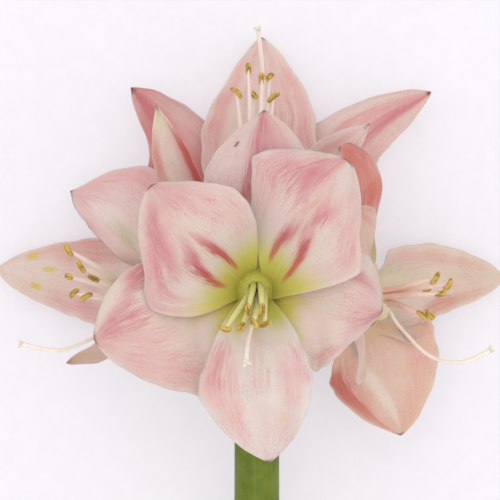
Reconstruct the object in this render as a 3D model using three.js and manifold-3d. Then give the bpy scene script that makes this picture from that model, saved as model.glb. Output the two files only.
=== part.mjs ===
// Cut amaryllis (Hippeastrum) laid on its back: a hollow green scape that carries an umbel of four
// flowers, one opening upwards, one to each side and one along the stem.
// Millimetres. +X across the stem, +Y along it towards the flowers, +Z up. The floor is z = 0.
import * as THREE from 'three';
import Module from 'manifold-3d';

const wasm = await Module();
wasm.setup();

// ---- driving dimensions ----
const HEAD_SPAN = 300; // across the umbel, from the left flower's tip to the right one's
const SCAPE_LENGTH = 360; // umbel to the cut end
const SCAPE_RADIUS = 13.6;
const SCAPE_WALL = 4;
const PEDICEL_RADIUS = 4.6;
const OVARY_RADIUS = 7.4;
const OVARY_DEPTH = 24; // middle of the ovary, behind the rim
const NECK_DEPTH = 10; // narrowest part of the perianth tube, behind the rim
const RIM_RADIUS = 11; // end of the perianth tube, where the tepals spring
const TEPAL_THICKNESS = 1.1;
const SPATHE_THICKNESS = 0.9;
const SPATHE_REACH = 45; // how far down the scape the withered valves hang
const FILAMENT_RADIUS = 1.15;
const ANTHER_LENGTH = 9;
const ANTHER_RADIUS = 1.6;
const STYLE_RADIUS = 1.2;
const GAP = 0.3; // between pieces that touch

// ---- what follows from them ----
const K = HEAD_SPAN / 300; // the head's chosen points are written for a 300 mm span
const REST = 70 * K; // the umbel's height above the floor, set by the lower flowers' tepals
const INNER_RING = RIM_RADIUS - 4.2; // where the inner tepals spring
const OUTER_RING = RIM_RADIUS - 1.3;
const STAMEN_RING = RIM_RADIUS - 7.2;
const CLAW_LENGTH = 19; // from the rim to where a tepal leaves the funnel, at a 300 mm span

const vec = (a) => new THREE.Vector3(...a);
const scaled = (a) => vec(a).multiplyScalar(K);

// Catmull-Rom through evenly spaced stations, for points or for plain numbers.
function spline(values, t) {
  const n = values.length - 1;
  const i = Math.min(Math.floor(t * n), n - 1);
  const f = t * n - i;
  const at = (j) => values[Math.max(0, Math.min(n, j))];
  const weights = [
    -0.5 * f + f * f - 0.5 * f ** 3,
    1 - 2.5 * f * f + 1.5 * f ** 3,
    0.5 * f + 2 * f * f - 1.5 * f ** 3,
    -0.5 * f * f + 0.5 * f ** 3,
  ];
  if (typeof values[0] === 'number') return weights.reduce((sum, w, j) => sum + w * at(i - 1 + j), 0);
  return weights.reduce((sum, w, j) => sum.addScaledVector(at(i - 1 + j), w), new THREE.Vector3());
}

// The direction of the curve through the points.
function tangent(points, t) {
  const ahead = spline(points, Math.min(1, t + 0.01));
  return ahead.sub(spline(points, Math.max(0, t - 0.01))).normalize();
}

// A closed triangle mesh from rings of points, with a cap on each end ring.
function loft(rings) {
  const positions = [];
  const index = [];
  const sides = rings[0].length;
  for (const ring of rings) for (const p of ring) positions.push(p.x, p.y, p.z);
  for (let r = 0; r + 1 < rings.length; r++) {
    for (let s = 0; s < sides; s++) {
      const a = r * sides + s;
      const b = r * sides + ((s + 1) % sides);
      index.push(a, b, b + sides, a, b + sides, a + sides);
    }
  }
  for (const [r, flip] of [[0, true], [rings.length - 1, false]]) {
    const centre = positions.length / 3;
    const c = rings[r].reduce((sum, p) => sum.add(p), new THREE.Vector3()).divideScalar(sides);
    positions.push(c.x, c.y, c.z);
    for (let s = 0; s < sides; s++) {
      const a = r * sides + s;
      const b = r * sides + ((s + 1) % sides);
      if (flip) index.push(centre, b, a);
      else index.push(centre, a, b);
    }
  }
  const geometry = new THREE.BufferGeometry();
  geometry.setAttribute('position', new THREE.Float32BufferAttribute(positions, 3));
  geometry.setIndex(index);
  return geometry;
}

// Rings along a curve through the points, each with its own radius. `start` is the normal of the
// first ring's plane.
function tube(points, radii, steps, sides, start) {
  const rings = [];
  let side = new THREE.Vector3(1, 0, 0);
  for (let i = 0; i <= steps; i++) {
    const t = i / steps;
    const p = spline(points, t);
    const along = tangent(points, t);
    if (i === 0 && start) along.copy(start).normalize();
    side = side.sub(along.clone().multiplyScalar(side.dot(along))).normalize();
    const up = along.clone().cross(side);
    const r = spline(radii, t);
    rings.push(Array.from({ length: sides }, (_, s) => {
      const angle = (2 * Math.PI * s) / sides;
      return p.clone().addScaledVector(side, r * Math.cos(angle)).addScaledVector(up, r * Math.sin(angle));
    }));
  }
  return loft(rings);
}

// A leaf-like shell: a midrib through five points, half-widths to the left and right of it at the
// same five stations, and the direction that the inner face looks in. `cup` lifts the margins
// towards that face, `tip` rounds or sharpens the end, and nothing goes below the floor.
function blade(shape, thickness, alongSteps, acrossSteps) {
  const { mid, left, right, face, cup, tip } = shape;
  const floor = -REST + thickness / 2;
  function middle(u, v) {
    const p = spline(mid, v);
    const along = tangent(mid, v);
    const facing = spline(face, v).normalize();
    const across = along.clone().cross(facing).normalize();
    const normal = across.clone().cross(along);
    const taper = (1 - v ** 6) ** tip;
    const s = (u + 1) / 2;
    const w = Math.max(0.9, (spline(left, v) * (1 - s) + spline(right, v) * s) * taper);
    p.addScaledVector(across, u * w).addScaledVector(normal, spline(cup, v) * w * u * u);
    p.z = Math.max(p.z, floor);
    return p;
  }
  function surface(u, v, side) {
    const e = 0.02;
    const du = middle(Math.min(1, u + e), v).sub(middle(Math.max(-1, u - e), v));
    const dv = middle(u, Math.min(1, v + e)).sub(middle(u, Math.max(0, v - e)));
    const n = du.cross(dv).normalize();
    const t = (thickness / 2) * (1 - 0.35 * u ** 4);
    const p = middle(u, v).addScaledVector(n, side * t);
    p.z = Math.max(p.z, -REST);
    return p;
  }
  const rings = [];
  for (let j = 0; j <= alongSteps; j++) {
    const v = j / alongSteps;
    const ring = [];
    for (let i = 0; i <= acrossSteps; i++) ring.push(surface(-1 + (2 * i) / acrossSteps, v, 1));
    for (let i = acrossSteps; i >= 0; i--) ring.push(surface(-1 + (2 * i) / acrossSteps, v, -1));
    rings.push(ring);
  }
  return shell(rings);
}

// As loft, but each flat ring end is closed by quads between its two faces.
function shell(rings) {
  const positions = [];
  const index = [];
  const sides = rings[0].length;
  const half = sides / 2;
  for (const ring of rings) for (const p of ring) positions.push(p.x, p.y, p.z);
  for (let r = 0; r + 1 < rings.length; r++) {
    for (let s = 0; s < sides; s++) {
      const a = r * sides + s;
      const b = r * sides + ((s + 1) % sides);
      index.push(a, b, b + sides, a, b + sides, a + sides);
    }
  }
  const last = (rings.length - 1) * sides;
  for (let s = 0; s + 1 < half; s++) {
    const [a, b, c, d] = [s, s + 1, sides - 2 - s, sides - 1 - s];
    index.push(a, c, b, a, d, c);
    index.push(last + a, last + b, last + c, last + a, last + c, last + d);
  }
  const geometry = new THREE.BufferGeometry();
  geometry.setAttribute('position', new THREE.Float32BufferAttribute(positions, 3));
  geometry.setIndex(index);
  return geometry;
}

function solid(geometry) {
  return new wasm.Manifold(new wasm.Mesh({
    numProp: 3,
    vertProperties: new Float32Array(geometry.attributes.position.array),
    triVerts: new Uint32Array(geometry.index.array),
  }));
}

function geometryOf(body) {
  const made = body.getMesh();
  const geometry = new THREE.BufferGeometry();
  geometry.setAttribute('position', new THREE.BufferAttribute(new Float32Array(made.vertProperties), 3));
  geometry.setIndex(new THREE.BufferAttribute(new Uint32Array(made.triVerts), 1));
  return geometry;
}

const material = (color, roughness) => new THREE.MeshStandardMaterial({ color, roughness, metalness: 0 });
const GREEN = material(0x6a7a32, 0.45);
const YELLOW_GREEN = material(0xa9a84a, 0.5);
const PETAL = material(0xe6bcb6, 0.55);
const PALE_PETAL = material(0xe9d3c8, 0.55);
const SALMON = material(0xd88a80, 0.55);
const POLLEN = material(0xc9a93c, 0.8);
const IVORY = material(0xe8dcc8, 0.5);
const PAPERY = material(0xc9a58c, 0.8);

const head = new THREE.Group();
head.position.z = REST;

function add(name, geometry, look) {
  const mesh = new THREE.Mesh(geometry, look);
  mesh.name = name;
  head.add(mesh);
}

// ---- scape: a hollow stalk that slopes down to the floor at its cut end ----
const endCorner = Math.hypot(SCAPE_LENGTH, SCAPE_RADIUS); // from the umbel to the cut end's lower edge
const SLOPE = Math.asin(REST / endCorner) - Math.atan(SCAPE_RADIUS / SCAPE_LENGTH);
const scapeAxis = new THREE.Vector3(0, Math.cos(SLOPE), Math.sin(SLOPE));
const scapeProfile = [
  [0, 0], [SCAPE_RADIUS * 0.75, 0], [SCAPE_RADIUS * 0.97, -SCAPE_RADIUS * 0.3], [SCAPE_RADIUS, -SCAPE_RADIUS],
  [SCAPE_RADIUS, -SCAPE_LENGTH], [SCAPE_RADIUS - SCAPE_WALL, -SCAPE_LENGTH],
  [SCAPE_RADIUS - SCAPE_WALL, -SCAPE_LENGTH * 0.55], [0, -SCAPE_LENGTH * 0.55 + SCAPE_RADIUS - SCAPE_WALL],
].map(([r, h]) => new THREE.Vector2(r, h)).reverse();
const scape = new THREE.LatheGeometry(scapeProfile, 28);
scape.rotateX(SLOPE);
add('scape', scape, GREEN);

// ---- two papery spathe valves that hang from the top of the scape ----
for (const [name, turn] of [['spathe_left', -1], ['spathe_right', 1]]) {
  const out = SCAPE_RADIUS + SPATHE_THICKNESS / 2 + GAP;
  const at = (r, h) => new THREE.Vector3(turn * r, 0, 0).addScaledVector(scapeAxis, h);
  add(name, blade({
    mid: [at(out, -4), at(out + 2, -16), at(out + 4, -28), at(out + 5.5, -37), at(out + 5.5, -SPATHE_REACH)],
    left: [5, 7.5, 7, 5, 3],
    right: [5, 7.5, 7, 5, 3],
    face: [vec([-turn, 0, 0]), vec([-turn, 0, 0.2]), vec([-turn, 0, 0.5])],
    cup: [0.15, 0.25, 0.3],
    tip: 0.8,
  }, SPATHE_THICKNESS, 8, 4), PAPERY);
}

// ---- flowers ----
// Each flower: where its tube ends and the way it opens; the side that counts as its top; the
// pedicel's foot on the scape and the bend above it; then its tepals, stamens and style.
// A tepal's azimuth turns clockwise from the top as seen from in front of the flower's mouth, and
// its stations start two thirds of the way up the funnel. Anthers are listed clockwise too.
const FOOT = SCAPE_RADIUS * 0.57; // pedicels stand this far from the scape's axis
const FOOT_RADIUS = FOOT * 0.53; // so that four of them stand side by side
const flowers = {
  front: {
    rim: [-1, 34, 62], axis: [0, 0.02, 1], top: [0, 1, 0], foot: [0, FOOT], bend: [0, 22, 22],
    tepals: {
      upper_left: { azimuth: -60, inner: true, mid: [[-28, 55, 104], [-47, 73, 115], [-60, 92, 111]],
        left: [13.5, 46, 28, 17], right: [13.5, 35, 38, 23],
        face: [[-0.06, -0.12, 1], [-0.1, 0, 1]], cup: [0.1, -0.06], tip: 0.5 },
      upper_right: { azimuth: 60, inner: true, mid: [[23, 66, 99], [37, 87, 106], [51, 107, 101]],
        left: [8, 32, 49, 31], right: [12.3, 42, 30, 21],
        face: [[-0.14, 0.02, 1], [0.02, 0.14, 1]], cup: [0.08, -0.06], tip: 0.5 },
      bottom: { azimuth: 180, inner: true, mid: [[2, 2, 104], [5, -27, 117], [7, -62, 119]],
        left: [11, 23, 31, 23], right: [11, 29, 42, 33],
        face: [[0, 0.3, 1], [0, -0.05, 1]], cup: [0.1, 0.04], tip: 0.75 },
      left: { azimuth: -120, inner: false, mid: [[-38, 22, 91], [-63, 13, 98], [-92, 6, 94]],
        left: [14, 54, 42, 28], right: [13, 30, 40, 32],
        face: [[0.15, 0, 1], [-0.1, 0, 1]], cup: [0.05, -0.05], tip: 0.6 },
      right: { azimuth: 120, inner: false, mid: [[33, 28, 90], [53, 26, 94], [71, 22, 82]],
        left: [13, 31, 37, 34], right: [14, 42, 33, 20],
        face: [[-0.15, 0, 1], [0.35, 0, 1]], cup: [0.05, -0.08], tip: 0.6 },
      top: { azimuth: 0, inner: false, mid: [[1, 83, 87], [2, 109, 91], [4, 136, 84]],
        left: [13, 30, 33, 20], right: [13, 28, 35, 30],
        face: [[0, -0.15, 1], [0, 0.15, 1]], cup: [0.05, -0.08], tip: 0.8 },
    },
    stamens: [[3, 23, 132], [4.5, 15, 138], [-2, 16, 143], [-9, 13, 134], [-18, 12, 136], [-5, 23, 128]],
    reach: [0, 32, 92], style: [[0, 30, 90], [-2, 18, 112], [-5, 5, 134], [-6, -6, 150]],
  },
  left: {
    rim: [-46, 28, -4], axis: [-0.97, 0.1, -0.2], top: [0, 1, 0], foot: [-FOOT, 0], bend: [-18, 20, -1],
    tepals: {
      top: { azimuth: 0, inner: false, mid: [[-80, 63, -10], [-95, 80, -24], [-112, 92, -38]],
        left: [7, 11, 13, 12], right: [12, 38, 46, 26],
        face: [[0.5, -0.2, 1], [0.1, 0.1, 1]], cup: [0.12, 0.05], tip: 0.85 },
      far: { azimuth: -60, inner: true, mid: [[-85, 37, -38], [-114, 41, -56], [-157, 45, -50]],
        left: [11, 28, 27, 23], right: [8, 26, 25, 20],
        face: [[0.3, 0, 1], [-0.1, 0, 1]], cup: [0.12, 0.02], tip: 0.75 },
      near: { azimuth: 60, inner: true, mid: [[-66, 50, 34], [-64, 68, 54], [-56, 84, 70]],
        left: [11, 19, 20, 16], right: [11, 19, 20, 16],
        face: [[0.9, 0, -0.3], [0.5, 0, -0.9]], cup: [0.2, -0.1], tip: 0.7 },
      bottom: { azimuth: 180, inner: true, mid: [[-74, 1, -9], [-93, -6, -5], [-112, -10, 4]],
        left: [7, 10, 14, 11], right: [7, 12, 16, 12],
        face: [[0, 1, -0.3], [0.2, 0.7, -0.9]], cup: [0.3, 0.3], tip: 0.7 },
      lower_near: { azimuth: 120, inner: false, mid: [[-67, 13, 40], [-74, 6, 60], [-76, 4, 78]],
        left: [12, 18, 20, 16], right: [12, 18, 20, 16],
        face: [[0.7, 0.4, -0.5], [0.6, 0.3, -0.7]], cup: [0.2, -0.1], tip: 0.7 },
      lower_far: { azimuth: -120, inner: false, mid: [[-80, 14, -44], [-98, 22, -66], [-120, 34, -71]],
        left: [8, 12, 11, 9], right: [12, 20, 20, 15],
        face: [[0.3, 0.2, 1], [0, 0, 1]], cup: [0.15, 0.05], tip: 0.7 },
    },
    stamens: [[-105, 47, 12], [-97, 40, 18], [-102, 29, 12], [-110, 31, -9], [-113, 41, -2], [-113, 57, 2]],
    reach: [-76, 31, -8], style: [[-72, 28, -8], [-86, 13, -7], [-101, 3, 3], [-119, -3, 13], [-140, 1, 16]],
  },
  right: {
    rim: [48, 26, -4], axis: [0.97, 0.1, -0.2], top: [0, 1, 0], foot: [FOOT, 0], bend: [18, 19, -1],
    tepals: {
      top: { azimuth: 0, inner: false, mid: [[62, 68, 10], [63, 101, 22], [50, 116, 36]],
        left: [10, 17, 20, 17], right: [7, 12, 20, 17],
        face: [[0.8, 0.1, 0.5], [0.5, 0.5, 0.6]], cup: [0.25, -0.2], tip: 0.6 },
      far: { azimuth: 60, inner: true, mid: [[83, 37, -38], [112, 41, -56], [150, 40, -48]],
        left: [8, 20, 22, 20], right: [10.5, 33, 28, 22],
        face: [[-0.3, 0, 1], [0.1, 0, 1]], cup: [0.12, 0.02], tip: 0.75 },
      near: { azimuth: -60, inner: true, mid: [[66, 48, 34], [64, 64, 56], [52, 78, 70]],
        left: [10.5, 21, 22, 18], right: [10.5, 21, 22, 18],
        face: [[-0.9, 0, -0.3], [-0.5, 0, -0.9]], cup: [0.2, -0.1], tip: 0.7 },
      bottom: { azimuth: 180, inner: true, mid: [[67, 4, -10], [76, -18, -8], [86, -52, 2]],
        left: [10.5, 36, 41, 32], right: [6.5, 20, 38, 26],
        face: [[0.1, 0.2, 1], [0.1, 0, 1]], cup: [0.08, -0.05], tip: 0.75 },
      lower_near: { azimuth: -120, inner: false, mid: [[62, 10, 38], [62, -6, 56], [58, -20, 68]],
        left: [8, 15, 15, 12], right: [8, 15, 15, 12],
        face: [[-0.7, 0.4, -0.5], [-0.8, 0.3, -0.5]], cup: [0.2, -0.1], tip: 0.7 },
      lower_far: { azimuth: 120, inner: false, mid: [[76, 14, -55.5], [92, 4, -67], [105, -12, -71]],
        left: [9.5, 16, 20, 15], right: [9.5, 17, 20, 15],
        face: [[-0.3, 0.2, 1], [0, 0, 1]], cup: [0.15, 0.05], tip: 0.7 },
    },
    stamens: [[115, 36, 0], [103, 33, -12], [104, 18, 4], [99, 18, 14], [110, 31, 12], [107, 40, 6]],
    reach: [78, 29, -8], style: [[74, 26, -8], [86, 11, -6], [103, -6, 7], [122, -10, 16], [139, -3, 16]],
  },
  back: {
    rim: [0, 52, -18], axis: [0, 0.97, -0.24], top: [0, 0.24, 0.97], foot: [0, -FOOT], bend: [0, 22, -10],
    tepals: {
      bottom: { azimuth: 180, inner: true, mid: [[1, 100, -40], [2, 142, -48], [3, 185, -50]],
        left: [10.5, 33, 35, 19], right: [10.5, 34, 38, 24],
        face: [[0, 0.2, 1], [0, -0.05, 1]], cup: [0.1, 0.03], tip: 0.7 },
      left: { azimuth: 120, inner: false, mid: [[-36, 96, -48], [-56, 128, -50], [-75, 154, -30]],
        left: [12, 38, 15, 11], right: [12, 27, 26, 18],
        face: [[0.25, 0.15, 1], [0.1, 0.1, 1]], cup: [0.1, 0.05], tip: 0.7 },
      right: { azimuth: -120, inner: false, mid: [[37, 102, -48], [68, 134, -50], [104, 152, -30]],
        left: [12, 27, 17, 14], right: [12, 28, 24, 17],
        face: [[-0.25, 0.15, 1], [-0.1, 0.1, 1]], cup: [0.1, 0.05], tip: 0.75 },
      upper_left: { azimuth: 66, inner: true, mid: [[-38, 90, 0], [-51, 115, 14], [-59, 141, 20]],
        left: [9, 15, 13, 9], right: [5, 9, 12, 9],
        face: [[0.5, -0.5, 0.6], [-0.6, 0, 0.8]], cup: [0.15, 0.1], tip: 0.8 },
      upper_right: { azimuth: -68, inner: true, mid: [[28, 90, -3], [47, 112, 6], [66, 131, 8]],
        left: [4.5, 11, 17, 10], right: [9.5, 16, 13, 9],
        face: [[-0.4, -0.4, 0.7], [-0.2, 0, 1]], cup: [0.1, 0.1], tip: 0.8 },
      top: { azimuth: 0, inner: false, mid: [[-1, 79, 33], [-6, 101, 49], [-14, 114, 64]],
        left: [5.5, 15, 23, 18], right: [5.5, 15, 23, 18],
        face: [[0, 0.9, -0.5], [0, 0.6, -0.8]], cup: [0.15, -0.1], tip: 0.7 },
    },
    stamens: [[-5, 166, -8], [-12, 152, -14], [-2, 151, -22], [8, 162, -22], [10, 149, -12], [3, 160, -4]],
    reach: [0, 86, -26], style: [[0, 86, -28], [3, 120, -36], [4, 160, -34], [1, 190, -20]],
  },
};

// A filament with its anther across the end, joined into one body.
function stamen(points, start, across) {
  const filament = tube(points, [1, 1, 0.85, 0.7].map((share) => share * FILAMENT_RADIUS), 6, 5, start);
  const tip = points[points.length - 1];
  const half = across.clone().normalize().multiplyScalar(ANTHER_LENGTH / 2);
  const lengthwise = [-1, -0.4, 0.4, 1].map((share) => tip.clone().addScaledVector(half, share));
  const anther = tube(lengthwise, [0.55, 1, 1, 0.55].map((share) => share * ANTHER_RADIUS), 3, 6);
  return geometryOf(solid(filament).add(solid(anther)));
}

// A style that ends in three spreading stigma lobes, joined into one body.
function style(points, start) {
  const stem = tube(points, [...points.slice(1).map(() => STYLE_RADIUS), STYLE_RADIUS * 1.2], 9, 6, start);
  const tip = points[points.length - 1];
  const along = tip.clone().sub(points[points.length - 2]).normalize();
  const side = new THREE.Vector3(0, 0, 1).cross(along).normalize();
  const up = along.clone().cross(side);
  let body = solid(stem);
  for (let lobe = 0; lobe < 3; lobe++) {
    const a = (2 * Math.PI * lobe) / 3;
    const out = side.clone().multiplyScalar(Math.cos(a)).addScaledVector(up, Math.sin(a));
    const spread = (ahead, aside) => (
      tip.clone().addScaledVector(along, STYLE_RADIUS * ahead).addScaledVector(out, STYLE_RADIUS * aside)
    );
    const end = spread(2, 2.2);
    const middle = spread(1.2, 0.9);
    const root = tip.clone().addScaledVector(along, -STYLE_RADIUS);
    const radii = [0.8, 0.8, 0.5].map((share) => share * STYLE_RADIUS);
    body = body.add(solid(tube([root, middle, end], radii, 2, 5)));
  }
  return geometryOf(body);
}

for (const [flower, plan] of Object.entries(flowers)) {
  const rim = scaled(plan.rim);
  const axis = vec(plan.axis).normalize();
  const top = vec(plan.top).addScaledVector(axis, -vec(plan.top).dot(axis)).normalize();
  const side = top.clone().cross(axis); // to the right, seen from in front of the mouth
  const around = (degrees) => {
    const a = THREE.MathUtils.degToRad(degrees);
    return top.clone().multiplyScalar(Math.cos(a)).addScaledVector(side, Math.sin(a));
  };
  const from = (direction, radius, height) => (
    rim.clone().addScaledVector(direction, radius).addScaledVector(axis, height)
  );

  // pedicel, ovary and perianth tube: one closed body that ends in the flat rim
  const [footX, footZ] = plan.foot;
  const scapeTop = new THREE.Vector3(0, -Math.sin(SLOPE), Math.cos(SLOPE));
  const foot = new THREE.Vector3(footX, 0, 0).addScaledVector(scapeTop, footZ);
  foot.addScaledVector(scapeAxis, GAP);
  const straight = foot.clone().addScaledVector(scapeAxis, 8 * K);
  const ovary = from(axis, 0, -OVARY_DEPTH);
  const neck = from(axis, 0, -NECK_DEPTH);
  const stalk = [foot, straight, scaled(plan.bend), ovary, neck, rim.clone()];
  const stalkRadii = [FOOT_RADIUS, FOOT_RADIUS, PEDICEL_RADIUS, OVARY_RADIUS, RIM_RADIUS * 0.62, RIM_RADIUS];
  add(`${flower}_pedicel`, tube(stalk, stalkRadii, 15, 10, scapeAxis), YELLOW_GREEN);

  for (const [place, tepal] of Object.entries(plan.tepals)) {
    const out = around(tepal.azimuth);
    const ring = tepal.inner ? INNER_RING : OUTER_RING;
    const claw = tepal.inner ? ring * 0.8 : ring * 0.72;
    const inward = out.clone().negate();
    const look = flower === 'right' && place === 'top' ? SALMON : tepal.inner ? PALE_PETAL : PETAL;
    const [middle, end] = tepal.face.map(vec);
    const leaning = inward.clone().addScaledVector(axis, 0.45).addScaledVector(middle, 0.25);
    const [middleCup, endCup] = tepal.cup;
    const clawCup = tepal.inner ? [0.5, 0.42] : [0.4, 0.34];
    add(`${flower}_tepal_${place}`, blade({
      mid: [from(out, ring, GAP), from(out, ring * 1.5 + 2 * K, CLAW_LENGTH * K), ...tepal.mid.map(scaled)],
      left: [claw, ...tepal.left.map((w) => w * K)],
      right: [claw, ...tepal.right.map((w) => w * K)],
      face: [inward, leaning, middle, middle.clone().add(end), end],
      cup: [...clawCup, middleCup, (middleCup + endCup) / 2, endCup],
      tip: tepal.tip,
    }, TEPAL_THICKNESS, 8, 6), look);
  }

  plan.stamens.forEach((anther, i) => {
    const out = around(30 + 60 * i);
    const end = scaled(anther);
    const throat = scaled(plan.reach).addScaledVector(out, STAMEN_RING * 1.5);
    const points = [from(out, STAMEN_RING, GAP), throat, end.clone().lerp(throat, 0.4), end];
    add(`${flower}_stamen_${i + 1}`, stamen(points, axis, around(70 * i).addScaledVector(axis, 0.8)), POLLEN);
  });

  add(`${flower}_style`, style([from(axis, 0, GAP), ...plan.style.map(scaled)], axis), IVORY);
}

// The part's origin is the middle of its box, on the floor.
const part = new THREE.Group();
part.add(head);
part.updateMatrixWorld(true);
const box = new THREE.Box3().setFromObject(part, true);
head.position.x -= (box.min.x + box.max.x) / 2;
head.position.y -= (box.min.y + box.max.y) / 2;

export default part;
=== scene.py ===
"""A cut amaryllis lying on its back on a pale floor: a hollow green scape that carries an umbel of
four flowers. Fine surfaces and finishes for every piece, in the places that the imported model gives.
Chosen points are in millimetres in the umbel's own frame: +X right, +Y along the stem, +Z up."""

import math

import bpy
import numpy as np
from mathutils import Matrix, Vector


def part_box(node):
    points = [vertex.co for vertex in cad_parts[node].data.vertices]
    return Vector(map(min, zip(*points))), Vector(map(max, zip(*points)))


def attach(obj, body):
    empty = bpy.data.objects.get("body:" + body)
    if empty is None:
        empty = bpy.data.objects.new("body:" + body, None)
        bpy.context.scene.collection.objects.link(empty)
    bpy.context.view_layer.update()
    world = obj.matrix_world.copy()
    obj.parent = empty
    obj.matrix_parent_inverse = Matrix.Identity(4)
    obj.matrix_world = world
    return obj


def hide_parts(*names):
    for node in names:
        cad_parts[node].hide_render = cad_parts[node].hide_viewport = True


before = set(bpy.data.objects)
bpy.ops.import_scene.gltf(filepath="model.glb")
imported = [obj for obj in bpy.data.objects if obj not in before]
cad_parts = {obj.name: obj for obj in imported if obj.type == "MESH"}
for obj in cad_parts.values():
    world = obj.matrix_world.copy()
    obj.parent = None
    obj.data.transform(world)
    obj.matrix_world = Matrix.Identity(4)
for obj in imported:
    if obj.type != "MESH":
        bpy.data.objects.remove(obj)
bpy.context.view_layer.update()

# ---- Scape ----------------------------------------------------------------------------------------
# The flower stalk: a smooth, waxy, hollow green tube, cut square at its lower end, where the pale
# flesh and the open hollow show. It slopes from the umbel down to the floor.
MM = 0.001
REST = 70.0  # the umbel's height above the floor
SCAPE_LENGTH = 360.0
SCAPE_HOLLOW = 0.55  # share of the length that is hollow
SCAPE_WALL = 4.0
scape_low, scape_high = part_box("scape")
SCAPE_RADIUS = (scape_high.x - scape_low.x) / 2 / MM
SLOPE = math.asin(REST / math.hypot(SCAPE_LENGTH, SCAPE_RADIUS)) - math.atan(SCAPE_RADIUS / SCAPE_LENGTH)
SCAPE_AXIS = np.array((0, math.cos(SLOPE), math.sin(SLOPE)))
cut_reach = SCAPE_LENGTH * math.cos(SLOPE) + SCAPE_RADIUS * math.sin(SLOPE)
HEAD = np.array(((scape_low.x + scape_high.x) / 2 / MM, scape_low.y / MM + cut_reach, REST))
rng = np.random.default_rng(8)


def unit(a):
    return a / np.linalg.norm(a, axis=-1, keepdims=True)


def spline(values, t):
    """Catmull-Rom through evenly spaced stations, for an array of t from 0 to 1."""
    values = np.asarray(values, float)
    last = len(values) - 1
    i = np.minimum(np.floor(t * last).astype(int), last - 1)
    f = t * last - i
    weights = (
        -0.5 * f + f**2 - 0.5 * f**3,
        1 - 2.5 * f**2 + 1.5 * f**3,
        0.5 * f + 2 * f**2 - 1.5 * f**3,
        -0.5 * f**2 + 0.5 * f**3,
    )
    total = 0
    for j, weight in enumerate(weights):
        at = values[np.clip(i - 1 + j, 0, last)]
        total = total + (weight[..., None] * at if values.ndim > 1 else weight * at)
    return total


def put(name, data):
    """An object in the scene, from a mesh, a lamp's data or a camera's."""
    made = bpy.data.objects.new(name, data)
    bpy.context.scene.collection.objects.link(made)
    return made


def piece(name, node, slot, points, faces, material, **measures):
    """A smooth mesh from points in the umbel's frame. It stands for the CAD node, and each measure
    becomes an attribute of its points that the material reads."""
    mesh = bpy.data.meshes.new(name)
    mesh.from_pydata(((points + HEAD) * MM).tolist(), [], faces)
    mesh.polygons.foreach_set("use_smooth", np.ones(len(mesh.polygons), bool))
    for measure, values in measures.items():
        attribute = mesh.attributes.new(measure, "FLOAT", "POINT")
        attribute.data.foreach_set("value", np.asarray(values, np.float32).ravel())
    mesh.materials.append(material)
    mesh.validate()
    made = put(name, mesh)
    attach(made, "root")
    if node:
        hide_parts(node)
    return made


def ring_walls(rings, sides, first=0):
    """Quads between rings of points."""
    faces = []
    for r in range(rings - 1):
        for s in range(sides):
            a, b = first + r * sides + s, first + r * sides + (s + 1) % sides
            faces.append((a, b, b + sides, a + sides))
    return faces


def ring_faces(rings, sides, first=0):
    """The walls, and one many-sided cap at each end."""
    faces = ring_walls(rings, sides, first)
    faces.append(tuple(first + s for s in reversed(range(sides))))
    faces.append(tuple(first + (rings - 1) * sides + s for s in range(sides)))
    return faces


def turns(sides):
    return np.linspace(0, 2 * math.pi, sides, endpoint=False)


def sweep(path, radius, sides):
    """Rings of points along a path (n, 3). radius is (n, 1), or (n, sides) where it isn't round."""
    turn = turns(sides)
    along = unit(np.gradient(path, axis=0))
    side = np.array((1.0, 0, 0)) if abs(along[0, 0]) < 0.9 else np.array((0, 1.0, 0))
    rings = []
    for p, a, r in zip(path, along, radius):
        side = unit(side - a * side.dot(a))
        up = np.cross(a, side)
        spokes = np.cos(turn)[:, None] * side + np.sin(turn)[:, None] * up
        rings.append(p + r[:, None] * spokes)
    return np.concatenate(rings)


class Value:
    """A socket in a material. Arithmetic on it adds Math nodes."""

    def __init__(self, look, socket):
        self.look = look
        self.socket = socket

    def math(self, operation, *values):
        return self.look.node("ShaderNodeMath", {"operation": operation}, values)

    def __add__(self, other):
        return self.math("ADD", self, other)

    def __sub__(self, other):
        return self.math("SUBTRACT", self, other)

    def __rsub__(self, other):
        return self.math("SUBTRACT", other, self)

    def __mul__(self, other):
        return self.math("MULTIPLY", self, other)

    def __abs__(self):
        return self.math("ABSOLUTE", self)

    __radd__ = __add__
    __rmul__ = __mul__


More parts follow.
